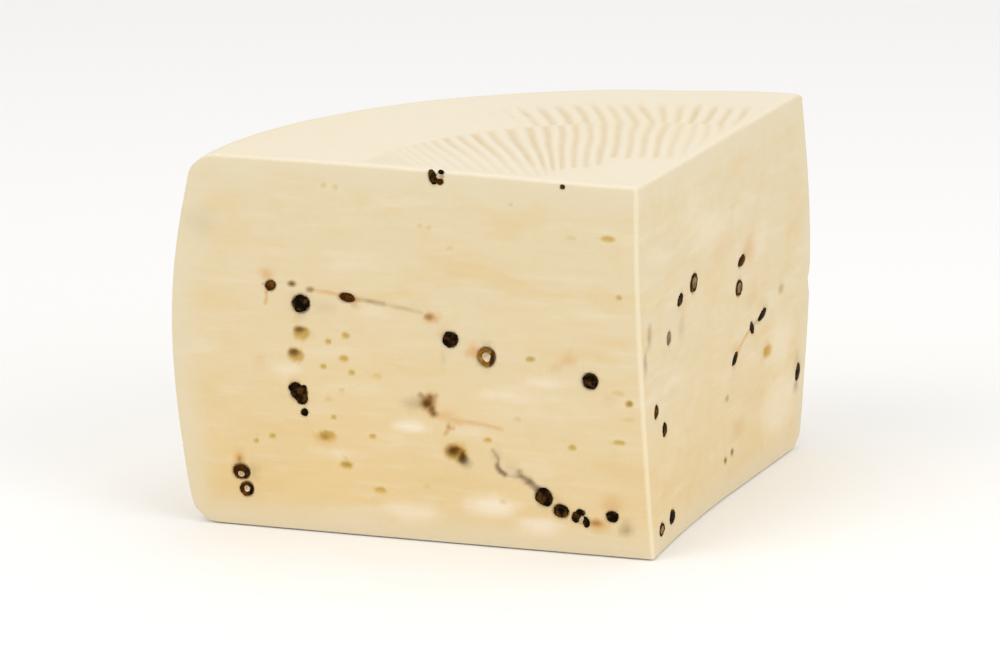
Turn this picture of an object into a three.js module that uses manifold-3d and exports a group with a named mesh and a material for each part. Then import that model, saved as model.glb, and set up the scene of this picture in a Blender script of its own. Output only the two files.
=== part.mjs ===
// Peppered pecorino: a quarter cut from a basket-moulded wheel, lying on its lower rind.
//
// Millimetres, +Z up. The two knife cuts meet in an upright edge, the point of the quarter.
// The front cut runs from the point towards -X and faces -Y; the side cut runs from it
// towards +Y and faces +X. All sizes are laid out from the point, and the finished quarter
// is set down with the middle of its base at the origin.

import * as THREE from 'three';
import { mergeVertices } from 'three/addons/utils/BufferGeometryUtils.js';
import Module from 'manifold-3d';

const wasm = await Module();
wasm.setup();

// The wheel.
const wheelRadius = 150; // at the belly, over the middle of the flutes
const crownHeight = 117; // rim of the upper face
const bellyHeight = 62; // where the side stands out furthest
const bellyReach = 50; // from the belly to where the side has pulled in by the next two sizes
const upperPullIn = 6.8;
const lowerPullIn = 4.8;
const dishDepth = 1.6; // how far the middle of the upper face has sunk
const dishReach = 60;
const sideOvershoot = 5; // how far the side runs past both faces before they are trimmed

// Each shoulder's curve, as (radius, height) points: its start, its middle and its end.
const lowerShoulder = [[135.5, 0], [143, 0], [147, 15]];
const upperShoulder = [[147, 99], [144, 117.5], [134, 117]];
const sharpShoulder = [[146.2, 111], [145.5, 117.6], [136, 117]]; // where the side cut meets it
const sharpensFrom = 0.72; // share of the way round from the front cut to the side cut
const sharpensTo = 0.97;

// The basket's mark on the rind.
const flutesRound = 210; // upright flutes round the whole side
const fluteDepth = 0.9;
const fluteFade = 16; // the flutes die out over this height under each shoulder
const reedWidth = 2; // furrows of the upper and lower faces
const reedDepth = 0.75;
const reedFromCut = 3; // the furrows stop this far inside the two cuts
const hubRadius = 30; // no reeds this near the point
const kinkRadius = 88; // a bundle of reeds ends here, and a ring of them starts
const ringRadius = 115;
const shortestReed = 8;

// Angles of the reeds go round the point from the front cut. At the radius "through", "aims" pairs
// an angle with the way the reed runs there, and "counts" pairs the reed's number with its angle.
// The front part of the upper face has lost most of its mark, so fewer numbers show there.
const bundle = {
  through: 62,
  aims: [[15, 54], [34, 61], [50, 72], [87, 78]],
  counts: [[-11, -10], [-6, 14], [0, 42.8], [11, 87.8]],
  firstOnTop: -5,
  firstOnBase: -9,
  last: 11,
};
const ring = {
  through: 100,
  aims: [[50, 62], [75, 67], [79, 77], [86, 82], [95, 84]],
  counts: [[-17, 0], [0, 56.6], [3, 66.2], [12, 91.8]],
  firstOnTop: -1,
  firstOnBase: -15,
  last: 12,
};

// The two cuts.
const quarterAngle = THREE.MathUtils.degToRad(95);
const edgeKick = 6.4; // the knife swung out at the foot of the upright edge
const edgeKickHeight = 55;
const edgeSet = -0.8;
const edgeKickReach = 85;
const knifeWave = 0.35;

const pasteColour = 0xe9d5ab;

const up = new THREE.Vector3(0, 0, 1);
const sideRun = new THREE.Vector3(-Math.cos(quarterAngle), Math.sin(quarterAngle), 0);
const sideOut = new THREE.Vector3(sideRun.y, -sideRun.x, 0);

// The value that pairs of (place, value) give at a place between them.
function between(pairs, place) {
  const last = pairs.length - 1;
  const next = pairs.findIndex(([start]) => start > place);
  if (next === 0) return pairs[0][1];
  if (next < 0) return pairs[last][1];
  const [[from, low], [to, high]] = [pairs[next - 1], pairs[next]];
  return THREE.MathUtils.mapLinear(place, from, to, low, high);
}

function seededRandom(seed) {
  let state = seed;
  return () => {
    state = (state * 1664525 + 1013904223) % 4294967296;
    return state / 4294967296;
  };
}

function sideRadius(z) {
  const pullIn = z > bellyHeight ? upperPullIn : lowerPullIn;
  return wheelRadius - pullIn * (Math.abs(z - bellyHeight) / bellyReach) ** 1.8;
}

function topHeight(radius) {
  return crownHeight - dishDepth * Math.exp(-((radius / dishReach) ** 2));
}

// How far the side cut stands out from its flat plane, by the run from the point and the height.
function sideCutOffset(run, z) {
  const kick = edgeKick * Math.exp(-z / edgeKickHeight) + edgeSet;
  const near = Math.max(0, 1 - run / edgeKickReach) ** 2;
  return kick * near + knifeWave * Math.sin(z / 19 + run / 34);
}

function frontCutOffset(run, z) {
  return knifeWave * Math.sin(z / 23 + 1) * Math.sin(run / 41);
}

// Each face of the quarter, as a point for two measures along it and the way it faces.
const faces = {
  front: {
    at: (run, z) => new THREE.Vector3(-run, -frontCutOffset(run, z), z),
    out: new THREE.Vector3(0, -1, 0),
  },
  side: {
    at: (run, z) =>
      sideRun.clone().multiplyScalar(run).addScaledVector(sideOut, sideCutOffset(run, z)).setZ(z),
    out: sideOut,
  },
  top: {
    at: (x, y) => new THREE.Vector3(x, y, topHeight(Math.hypot(x, y))),
    out: up,
  },
  base: {
    at: (x, y) => new THREE.Vector3(x, y, 0),
    out: up.clone().negate(),
  },
  rind: {
    at: (degrees, z) => {
      const turn = THREE.MathUtils.degToRad(degrees);
      const radius = sideRadius(z);
      return new THREE.Vector3(-radius * Math.cos(turn), radius * Math.sin(turn), z);
    },
  },
};

function toSolid(geometry) {
  const bare = new THREE.BufferGeometry();
  bare.setAttribute('position', geometry.getAttribute('position').clone());
  bare.setIndex(geometry.index ? geometry.index.clone() : null);
  const merged = mergeVertices(bare, 1e-4);
  const corners = merged.index.array;
  const kept = [];
  for (let i = 0; i < corners.length; i += 3) {
    const [a, b, c] = [corners[i], corners[i + 1], corners[i + 2]];
    if (a !== b && b !== c && c !== a) kept.push(a, b, c);
  }
  const mesh = new wasm.Mesh({
    numProp: 3,
    vertProperties: Float32Array.from(merged.getAttribute('position').array),
    triVerts: Uint32Array.from(kept),
  });
  return new wasm.Manifold(mesh);
}

function toGeometry(solid) {
  const { vertProperties, triVerts } = solid.getMesh();
  const geometry = new THREE.BufferGeometry();
  geometry.setAttribute('position', new THREE.BufferAttribute(vertProperties, 3));
  geometry.setIndex(new THREE.BufferAttribute(triVerts, 1));
  geometry.computeVertexNormals();
  return geometry;
}

function movePoints(geometry, move) {
  const position = geometry.getAttribute('position');
  const point = new THREE.Vector3();
  for (let i = 0; i < position.count; i += 1) {
    point.fromBufferAttribute(position, i);
    move(point, i);
    position.setXYZ(i, point.x, point.y, point.z);
  }
  return geometry;
}

// A round body about the upright axis, from its outline of (radius, height) points.
function turned(outline, segments) {
  return new THREE.LatheGeometry(outline, segments).rotateX(Math.PI / 2);
}

// The side with its flutes, taller than the wheel: the faces are trimmed by wheelFaces.
function flutedDrum() {
  const [lowest, highest] = [-sideOvershoot, crownHeight + sideOvershoot];
  const rows = [lowest, 8, 19, 32, 47, 62, 76, 90, 101, 109, highest];
  const outline = [
    new THREE.Vector2(0, lowest),
    ...rows.map((z) => new THREE.Vector2(sideRadius(z), z)),
    new THREE.Vector2(0, highest),
  ];
  const drum = turned(outline, 2 * flutesRound);
  return movePoints(drum, (point) => {
    const radius = Math.hypot(point.x, point.y);
    if (radius < 1) return;
    const fromShoulder = Math.min(point.z, crownHeight - point.z);
    const fade = THREE.MathUtils.smoothstep(fromShoulder, 0, fluteFade);
    const crest = Math.cos(flutesRound * Math.atan2(point.y, point.x));
    const scale = (radius + (fluteDepth / 2) * crest * fade) / radius;
    point.x *= scale;
    point.y *= scale;
  });
}

function curve(ends, steps) {
  const points = ends.map(([radius, z]) => new THREE.Vector2(radius, z));
  return new THREE.QuadraticBezierCurve(...points).getPoints(steps);
}

// The wheel's half section without its flutes, under the upper shoulder that is asked for.
function wheelOutline(shoulder) {
  const beyond = wheelRadius + 5;
  const dish = [100, 62, 30, 0];
  return [
    new THREE.Vector2(0, 0),
    ...curve(lowerShoulder, 6),
    new THREE.Vector2(beyond, 45),
    new THREE.Vector2(beyond, 72),
    ...curve(shoulder, 7),
    ...dish.map((radius) => new THREE.Vector2(radius, topHeight(radius))),
  ];
}

// The flat base, the dished top and the two smooth shoulders.
function wheelFaces() {
  const soft = wheelOutline(upperShoulder);
  const sharp = wheelOutline(sharpShoulder);
  return movePoints(turned(soft, 90), (point, index) => {
    const turn = Math.atan2(point.y, -point.x) / quarterAngle;
    const share = THREE.MathUtils.smoothstep(turn, sharpensFrom, sharpensTo);
    const at = index % soft.length;
    const wanted = soft[at].clone().lerp(sharp[at], share);
    const scale = wanted.x / Math.max(soft[at].x, 1);
    point.set(point.x * scale, point.y * scale, wanted.y);
  });
}

// The block that a cut takes away: a box whose near side is the knife's own surface.
function cutAway(face, start, end) {
  const [columns, rows] = [13, 9];
  const [floor, ceiling] = [-6, crownHeight + 6];
  const thickness = 2 * wheelRadius + 20;
  const block = new THREE.BoxGeometry(1, 1, 1, columns, 1, rows);
  return movePoints(block, (point) => {
    const run = THREE.MathUtils.lerp(start, end, point.x + 0.5);
    const z = THREE.MathUtils.lerp(floor, ceiling, point.z + 0.5);
    const away = point.y < 0 ? thickness : 0;
    point.copy(face.at(run, z)).addScaledVector(face.out, away);
  });
}

// A V-shaped groove along a face, from one pair of measures to the next.
function furrow(face, from, to, width, depth, steps) {
  const lift = 0.6;
  const groove = new THREE.CylinderGeometry(1, 1, 1, 3, steps);
  const corner = Math.sin(Math.PI / 3);
  const placed = (t) =>
    face.at(THREE.MathUtils.lerp(from[0], to[0], t), THREE.MathUtils.lerp(from[1], to[1], t));
  return movePoints(groove, (point) => {
    const t = point.y + 0.5;
    const along = placed(t + 0.01).sub(placed(t - 0.01)).normalize();
    const across = new THREE.Vector3().crossVectors(face.out, along);
    const deep = depth * Math.min(1, 0.25 + 2 * Math.min(t, 1 - t));
    const height = lift - ((point.z + 0.5) / 1.5) * (lift + deep);
    const half = (width / 2) * (1 + lift / depth);
    const shift = (point.x / corner) * half;
    point.copy(placed(t)).addScaledVector(across, shift).addScaledVector(face.out, height);
  });
}

// The straight course of one reed of a fan between two radii, kept inside the two cuts.
function reedCourse(fan, count, inner, outer) {
  const turn = THREE.MathUtils.degToRad(between(fan.counts, count));
  const aim = THREE.MathUtils.degToRad(between(fan.aims, THREE.MathUtils.radToDeg(turn)));
  const place = new THREE.Vector2(-Math.cos(turn), Math.sin(turn)).multiplyScalar(fan.through);
  const along = new THREE.Vector2(-Math.cos(aim), Math.sin(aim));
  const steps = Array.from({ length: fan.through * 2 }, (_, step) => step - fan.through);
  return steps
    .map((step) => place.clone().addScaledVector(along, step))
    .filter(({ x, y }) => {
      const radius = Math.hypot(x, y);
      const insideSide = -(x * sideOut.x + y * sideOut.y);
      return radius > inner && radius < outer && Math.min(y, insideSide) > reedFromCut;
    });
}

// The reeds' furrows on the upper face or the base.
function reedFurrows(face, firstName) {
  const courses = [];
  for (let count = bundle[firstName]; count <= bundle.last; count += 1) {
    courses.push(reedCourse(bundle, count, hubRadius, kinkRadius));
  }
  for (let count = ring[firstName]; count <= ring.last; count += 1) {
    courses.push(reedCourse(ring, count, kinkRadius, ringRadius));
  }
  return courses
    .filter((course) => course.length > shortestReed)
    .map((course) => {
      const [from, to] = [course[0], course[course.length - 1]];
      return furrow(face, from.toArray(), to.toArray(), reedWidth, reedDepth, 2);
    });
}

// Cracks in the paste, each through the points where it bends: [run, height].
const cracks = [
  { face: 'front', width: 0.9, depth: 0.6, path: [[104, 76.5], [92.5, 74.8], [68.6, 71.9]] },
  { face: 'front', width: 1.1, depth: 0.6, path: [[64.7, 40.5], [60, 39.2], [42, 37]] },
  { face: 'front', width: 1, depth: 0.8, path: [[45.8, 30.6], [41.9, 23.3], [36, 22.6], [31, 19]] },
  { face: 'side', width: 1.2, depth: 0.6, path: [[85.5, 44.2], [98, 49.7], [106.6, 51.8]] },
];

function crackCuts() {
  return cracks.flatMap(({ face, width, depth, path }) =>
    path.slice(1).map((to, i) => furrow(faces[face], path[i], to, width, depth, 1)),
  );
}

// The larger eyes of the paste: [face, run, height, width, height across].
const eyes = [
  ['front', 107.3, 62.6, 5, 4],
  ['front', 109.2, 55.4, 4.6, 3.8],
  ['front', 93, 62.8, 2.4, 2.2],
  ['front', 93.6, 55.5, 2.6, 2],
  ['front', 99.3, 30.8, 5.6, 3],
  ['front', 93, 22, 3.8, 2.2],
  ['front', 82, 15, 3.8, 1.8],
  ['front', 57.3, 28.8, 5.4, 4],
  ['front', 66.4, 43.9, 3.4, 4],
  ['front', 47.4, 33.5, 2.6, 1.7],
  ['front', 5.3, 50, 5, 2.4],
  ['front', 9.3, 98.8, 4.4, 1.8],
  ['side', 5.3, 64, 3.4, 2.6],
  ['side', 109.6, 40, 5, 2.5],
];

function eyeCuts() {
  return eyes.map(([name, run, z, wide, high]) => {
    const face = faces[name];
    const across = new THREE.Vector3().crossVectors(face.out, up);
    return movePoints(new THREE.OctahedronGeometry(1, 1), (point) => {
      const { x, y, z: rise } = point;
      point
        .copy(face.at(run, z))
        .addScaledVector(across, (x * wide) / 2)
        .addScaledVector(face.out, (y * (wide + high)) / 5)
        .addScaledVector(up, (rise * high) / 2);
    });
  });
}

// Whole and broken peppercorns: [face, first measure, height, diameter, share left standing out].
const peppercorns = [
  ['front', 117.2, 76.9, 3.4, 0.12],
  ['front', 107.4, 71.8, 5.6, 0.18],
  ['front', 92.5, 74.8, 4, 0.08],
  ['front', 59.3, 64.1, 4.9, 0.18],
  ['front', 47.8, 59.5, 5.8, 0.06],
  ['front', 15, 54.5, 5, 0.18],
  ['front', 109.3, 45.3, 3.5, 0.13],
  ['front', 108.3, 43.7, 4.8, 0.13],
  ['front', 107.3, 42, 3.7, 0.13],
  ['front', 106.4, 37.7, 2.5, 0.18],
  ['front', 127.4, 17.2, 5.2, 0.06],
  ['front', 125.6, 11.8, 4.4, 0.06],
  ['front', 29.5, 17.2, 5.5, 0.18],
  ['front', 24.1, 13.2, 4.7, 0.18],
  ['front', 19.2, 11.7, 3.3, 0.15],
  ['front', 16.2, 10.8, 2.8, 0.15],
  ['front', 7.9, 12.7, 3.9, 0.18],
  ['front', 63.8, 114.4, 4, 0.15],
  ['side', 46.8, 75.5, 5.8, 0.06],
  ['side', 35.4, 72.8, 4.2, 0.06],
  ['side', 25.2, 63.1, 4, 0.06],
  ['side', 11.3, 43.4, 3.8, 0.06],
  ['side', 18.2, 36.2, 4.1, 0.06],
  ['side', 87.9, 73.5, 4.4, 0.08],
  ['side', 85.9, 65.2, 5.5, 0.06],
  ['side', 107.2, 51.8, 4.2, 0.06],
  ['side', 98.4, 49.4, 3.8, 0.06],
  ['side', 83.5, 42.8, 4.8, 0.06],
  ['side', 140.3, 25.2, 5, 0.06],
  ['side', 21.8, 7.9, 4.7, 0.08],
  ['side', 10.6, 7, 4, 0.06],
  ['rind', 22, 84, 4.8, 0.15],
  ['rind', 38, 31, 4.7, 0.15],
  ['rind', 41, 35, 4, 0.15],
  ['rind', 73, 58, 5, 0.15],
];

function pepperBalls() {
  const random = seededRandom(7);
  return peppercorns.map(([name, measure, z, diameter, standing]) => {
    const face = faces[name];
    const centre = face.at(measure, z);
    const out = face.out ?? centre.clone().setZ(0).normalize();
    const radius = diameter / 2;
    const ball = new THREE.OctahedronGeometry(radius, 1)
      .scale(1, 0.9 + 0.1 * random(), 0.94)
      .rotateX(6 * random())
      .rotateZ(6 * random());
    centre.addScaledVector(out, (2 * standing - 1) * radius);
    return ball.translate(centre.x, centre.y, centre.z);
  });
}

// A nick knocked out of the rind at the far edge of the side cut.
function rindNick() {
  const place = faces.side.at(sideRadius(54) + 2, 54);
  return new THREE.OctahedronGeometry(1, 1).scale(5, 5, 4).translate(place.x, place.y, place.z);
}

function pecorinoQuarter() {
  const wheel = toSolid(flutedDrum()).intersect(toSolid(wheelFaces()));
  const outside = wheelRadius + 20;
  const taken = [
    cutAway(faces.front, outside, -outside),
    cutAway(faces.side, -outside, outside),
    ...reedFurrows(faces.top, 'firstOnTop'),
    ...reedFurrows(faces.base, 'firstOnBase'),
    ...crackCuts(),
    ...eyeCuts(),
    rindNick(),
  ];
  const cut = taken.reduce((solid, piece) => solid.subtract(toSolid(piece)), wheel);
  return pepperBalls().reduce((solid, ball) => solid.add(toSolid(ball)), cut);
}

const geometry = toGeometry(pecorinoQuarter());

// The base's middle is the middle of the quarter's extent, for a round rind and two cuts.
const pointX = (wheelRadius + wheelRadius * Math.cos(quarterAngle)) / 2;
const pointY = -wheelRadius / 2;

const quarter = new THREE.Mesh(
  geometry,
  new THREE.MeshStandardMaterial({ color: pasteColour, roughness: 0.62, metalness: 0 }),
);
quarter.name = 'pecorino_quarter';
quarter.position.set(pointX, pointY, 0);

const pecorino = new THREE.Group();
pecorino.add(quarter);

export default pecorino;
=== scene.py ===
# Peppered pecorino: a quarter cut from a basket-moulded wheel, lying on its lower rind.
# Lengths in the dictionaries are millimetres where no note says metres, and angles are degrees.
# The scene itself is in metres.

import math
import bpy
import numpy as np
from mathutils import Matrix, Vector, noise


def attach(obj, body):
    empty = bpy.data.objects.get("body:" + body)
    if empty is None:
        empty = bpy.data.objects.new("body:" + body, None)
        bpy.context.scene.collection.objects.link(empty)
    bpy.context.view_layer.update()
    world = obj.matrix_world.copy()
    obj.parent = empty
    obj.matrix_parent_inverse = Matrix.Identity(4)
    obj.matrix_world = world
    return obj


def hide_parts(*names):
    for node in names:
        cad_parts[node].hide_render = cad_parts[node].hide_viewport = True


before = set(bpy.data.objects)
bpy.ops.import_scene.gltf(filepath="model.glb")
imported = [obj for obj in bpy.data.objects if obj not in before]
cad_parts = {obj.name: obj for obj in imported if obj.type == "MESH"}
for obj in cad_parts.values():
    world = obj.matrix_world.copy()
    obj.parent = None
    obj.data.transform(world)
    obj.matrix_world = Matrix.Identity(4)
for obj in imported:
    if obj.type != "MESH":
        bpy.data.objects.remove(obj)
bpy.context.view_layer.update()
mm = 0.001
print("frame loaded")

camera = {
    "stands": (571.65, -1745.98, 508.24),
    "looksAt": (31.89, -95.76, 72.9),
    "roll": -0.206,
    "lens": 216.0,
    "sensor": 36.0,
    "clip": (0.05, 40),  # metres
}
bpy.ops.object.camera_add(location=Vector(camera["stands"]) * mm)
photoCamera = bpy.context.object
photoCamera.name = "photoCamera"
sight = Vector(camera["looksAt"]) - Vector(camera["stands"])
level = sight.to_track_quat("-Z", "Y").to_matrix()
tilted = level @ Matrix.Rotation(math.radians(camera["roll"]), 3, "Z")
photoCamera.rotation_euler = tilted.to_euler()
photoCamera.data.lens = camera["lens"]
photoCamera.data.sensor_width = camera["sensor"]
photoCamera.data.clip_start, photoCamera.data.clip_end = camera["clip"]
bpy.context.scene.camera = photoCamera
bpy.context.scene.view_settings.view_transform = "Standard"
print("camera placed")


def startEdit(piece, kind, chosen):
    # edit mode with only the chosen edges or faces selected
    bpy.ops.object.select_all(action="DESELECT")
    piece.select_set(True)
    bpy.context.view_layer.objects.active = piece
    mesh = piece.data
    for parts in (mesh.vertices, mesh.edges, mesh.polygons):
        parts.foreach_set("select", np.zeros(len(parts), bool))
    parts = mesh.edges if kind == "edge" else mesh.polygons
    parts.foreach_set("select", chosen)
    bpy.context.tool_settings.mesh_select_mode = (False, kind == "edge", kind == "face")
    bpy.ops.object.mode_set(mode="EDIT")


def endEdit():
    bpy.ops.object.mode_set(mode="OBJECT")


def vertexPlaces(piece):
    places = np.empty(3 * len(piece.data.vertices))
    piece.data.vertices.foreach_get("co", places)
    return places.reshape(-1, 3)


def faceCentres(piece):
    centres = np.empty(3 * len(piece.data.polygons))
    piece.data.polygons.foreach_get("center", centres)
    return centres.reshape(-1, 3)


def edgeEnds(piece):
    corners = np.empty(2 * len(piece.data.edges), int)
    piece.data.edges.foreach_get("vertices", corners)
    places = vertexPlaces(piece)
    return places[corners[0::2]], places[corners[1::2]]


def smooth(value, low, high):
    t = np.clip((value - low) / (high - low), 0, 1)
    return t * t * (3 - 2 * t)


def noiseAt(places, size, shift):
    move = Vector((shift, 1.7 * shift, -2.3 * shift))
    return np.array([noise.noise(Vector(place) / size + move) for place in places])


# The wheel that the quarter was cut from, measured from the quarter's point.
wheel = {
    "radius": 150.0,
    "crown": 117.0,  # rim of the upper face
    "belly": 62.0,  # where the side stands out furthest
    "bellyReach": 50.0,  # this far from the belly the side has pulled in by the next two
    "upperPullIn": 6.8,
    "lowerPullIn": 4.8,
    "dishDepth": 1.6,  # the middle of the upper face has sunk a little
    "dishReach": 60.0,
    "upperShoulder": ((134.0, 117.0), (144.0, 117.5), (147.0, 99.0)),
    "sharpShoulder": ((136.0, 117.0), (145.5, 117.6), (146.2, 111.0)),  # where the side cut meets it
    "sharpens": (0.72, 0.97),  # over this share of the turn from the front cut
    "lowerShoulder": ((135.5, 0.0), (143.0, 0.0), (147.0, 15.0)),
    "quarter": 95.0,
    "sideRindFade": (2, 16),  # the shoulders keep the colour of the upper face
    "steps": {"shoulder": 16, "flat": 60, "rind": 240},  # along the outlines
}
knife = {
    "kick": 6.4,  # the blade swung out at the foot of the upright edge
    "kickHeight": 55.0,
    "kickReach": 85.0,
    "set": -0.8,  # how far the edge stands in above the kick
    "wave": 0.35,
    "frontLengths": (41, 23),  # of the waves it left, along the cut and up it
    "sideLengths": (34, 19),
    "frontFade": 12,  # this far behind a cut its wave has died out
    "sideFade": 45,
}
quarterTurn = math.radians(wheel["quarter"])
sideRun = np.array((-math.cos(quarterTurn), math.sin(quarterTurn), 0.0))
sideOut = np.array((sideRun[1], -sideRun[0], 0.0))
point = np.array((wheel["radius"] * (1 + math.cos(quarterTurn)) / 2, -wheel["radius"] / 2, 0.0))


def sideRadius(z):
    pullIn = np.where(z > wheel["belly"], wheel["upperPullIn"], wheel["lowerPullIn"])
    return wheel["radius"] - pullIn * (np.abs(z - wheel["belly"]) / wheel["bellyReach"]) ** 1.8


def topHeight(radius):
    return wheel["crown"] - wheel["dishDepth"] * np.exp(-((radius / wheel["dishReach"]) ** 2))


def frontWave(run, z):
    lengthwise, upright = knife["frontLengths"]
    return knife["wave"] * np.sin(z / upright + 1) * np.sin(run / lengthwise)


def sideWave(run, z):
    kick = knife["kick"] * np.exp(-z / knife["kickHeight"]) + knife["set"]
    near = np.clip(1 - run / knife["kickReach"], 0, 1) ** 2
    lengthwise, upright = knife["sideLengths"]
    return kick * near + knife["wave"] * np.sin(z / upright + run / lengthwise)


def shoulderLine(name, shares):
    start, middle, end = (np.array(corner) for corner in wheel[name])
    t = shares[:, None]
    return start * (1 - t) ** 2 + 2 * middle * t * (1 - t) + end * t**2


def outlines(shoulderName):
    # half section of the wheel: base, top and rind lines, met in the middle of each shoulder
    steps = wheel["steps"]
    half = np.linspace(0, 0.5, steps["shoulder"])
    flat = np.linspace(0, wheel[shoulderName][0][0], steps["flat"])
    base = np.vstack(([[0, 0], wheel["lowerShoulder"][0]], shoulderLine("lowerShoulder", half)[1:]))
    dish = np.stack((flat, topHeight(flat)), axis=1)
    top = np.vstack((dish, shoulderLine(shoulderName, half)[1:]))
    heights = np.linspace(base[-1, 1], top[-1, 1], steps["rind"])
    whole = np.linspace(0, 1, steps["flat"])
    lower = shoulderLine("lowerShoulder", whole)
    upper = shoulderLine(shoulderName, whole)[::-1]
    belly = sideRadius(heights)
    beyond = wheel["radius"] + 50
    lowerPart = np.where(heights < lower[-1, 1], np.interp(heights, lower[:, 1], lower[:, 0]), beyond)
    upperPart = np.where(heights > upper[0, 1], np.interp(heights, upper[:, 1], upper[:, 0]), beyond)
    shoulder = np.minimum(lowerPart, upperPart)
    # the smaller of the two, with the corner between them rounded off
    inShoulder, inBelly = np.exp(-2 * (shoulder - wheel["radius"])), np.exp(-2 * (belly - wheel["radius"]))
    soft = wheel["radius"] - np.log(inShoulder + inBelly) / 2
    ends = smooth(np.minimum(heights - base[-1, 1], top[-1, 1] - heights), 0, 4)
    radius = np.minimum(shoulder, belly) * (1 - ends) + soft * ends
    return base, top, np.stack((radius, heights), axis=1)


softOutlines = outlines("upperShoulder")
sharpOutlines = outlines("sharpShoulder")


def along(line, share):
    steps = np.linalg.norm(np.diff(line, axis=0), axis=1)
    run = np.concatenate(([0], np.cumsum(steps))) / steps.sum()
    return np.stack((np.interp(share, run, line[:, 0]), np.interp(share, run, line[:, 1])), axis=1)


def section(lines, share, rise):
    # a patch between the four lines: share runs from the point to the rind, rise from base to top
    baseLine, topLine, rindLine = lines
    s, w = share[:, None], rise[:, None]
    low, high, rind = along(baseLine, share), along(topLine, share), along(rindLine, rise)
    edge = np.stack((np.zeros_like(rise), rise * topLine[0, 1]), axis=1)
    corners = (1 - s) * w * topLine[0] + s * (1 - w) * baseLine[-1] + s * w * topLine[-1]
    return (1 - w) * low + w * high + (1 - s) * edge + s * rind - corners


# The basket's reeds: a bundle of them, then a ring that starts where the bundle ends. Angles are
# taken from the front cut, round the point. At the radius "through", "aims" pairs an angle with
# the way the reed runs there, and "counts" pairs an angle with the number of the reed.
reeds = {
    "bundle": {
        "through": 62.0,
        "aims": ((15, 54), (34, 61), (50, 72), (87, 78)),
        "counts": ((-10, -11), (14, -6), (42.8, 0), (87.8, 11), (112, 17)),
        "sharpness": 1.7,
    },
    "ring": {
        "through": 100.0,
        "aims": ((50, 62), (75, 67), (79, 77), (86, 82), (95, 84)),
        "counts": ((0, -17), (56.6, 0), (66.2, 3), (91.8, 12), (110, 18)),
        "sharpness": 2.2,
    },
    "depth": 0.68,
    "hub": 27.0,  # no reeds this near the point
    "farHub": 35.0,  # the same towards the side cut
    "hubWidens": (48, 62),
    "hubFade": 9,
    "kink": (86.5, 89.5),  # between these the bundle ends and the ring starts
    "ringEnd": 115.0,
    "ringFade": (-7, 4),
    "cutMargin": (1.5, 7),
    "wobble": 0.25,  # share of a reed
    "patterns": 97,  # reeds before their strengths repeat
    "wornShare": 0.35,  # what is left of the upper face's bundle at the front cut
    "wornBundle": (18, 34),
    "wornRing": (47, 58),
    "farShare": 0.4,  # what it loses again towards the side cut
    "farBundle": (74, 84),
    "flutes": 56,  # upright ones, round the quarter's side
    "fluteDepth": 0.85,
    "fluteFade": 18.0,
}


def reedCount(fan, radius, around):
    # which reed of a fan each place lies on, with its share between two
    angles, aims = zip(*fan["aims"])
    start = around.copy()
    for _ in range(18):  # by then it has settled
        aim = np.interp(start, angles, aims)
        reach = np.clip(fan["through"] * np.sin(np.radians(start - aim)) / radius, -1, 1)
        start = start + 0.45 * (around - aim - np.degrees(np.arcsin(reach)))
    return np.interp(start, *zip(*fan["counts"]))


def reedFurrows(x, y, wander, ends, wornAndHighlit):
    # the last argument says that the front part of the upper face has lost most of its mark
    radius = np.maximum(np.hypot(x, y), 1)
    around = np.degrees(np.arctan2(y, -x))
    kink = smooth(radius + 0.7 * ends, *reeds["kink"])
    hub = reeds["hub"] + (reeds["farHub"] - reeds["hub"]) * smooth(around, *reeds["hubWidens"])
    inBundle = smooth(radius + 4 * ends - hub, 0, reeds["hubFade"]) * (1 - kink)
    ringFade = (reeds["ringEnd"] + step for step in reeds["ringFade"])
    inRing = kink * (1 - smooth(radius + 3 * ends, *ringFade))
    if wornAndHighlit:
        near, far = smooth(around, *reeds["wornBundle"]), smooth(around, *reeds["farBundle"])
        kept = reeds["wornShare"] + (1 - reeds["wornShare"]) * near
        inBundle = inBundle * kept * (1 - reeds["farShare"] * far)
        inRing = inRing * smooth(around + 3 * ends, *reeds["wornRing"])
    inside = np.minimum(y, -(x * sideOut[0] + y * sideOut[1]))
    nearCut = smooth(inside, *reeds["cutMargin"])
    strengths = np.random.default_rng(5).uniform(0.7, 1, reeds["patterns"])
    furrows = np.zeros_like(x)
    for name, share in (("bundle", inBundle), ("ring", inRing)):
        count = reedCount(reeds[name], radius, around) + wander
        groove = (0.5 + 0.5 * np.cos(2 * np.pi * count)) ** reeds[name]["sharpness"]
        furrows += groove * strengths[np.round(count).astype(int) % reeds["patterns"]] * share
    return furrows * nearCut


def fluteHollows(turn, z):
    # hollow scallops that meet in sharp crests, and die out towards the shoulders
    share = turn / quarterTurn * reeds["flutes"]
    fromCrest = np.abs(share - np.round(share))
    fade = smooth(np.minimum(z, wheel["crown"] - z), 3, reeds["fluteFade"])
    return (1 - (1 - 2 * fromCrest) ** 2) * fade


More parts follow.
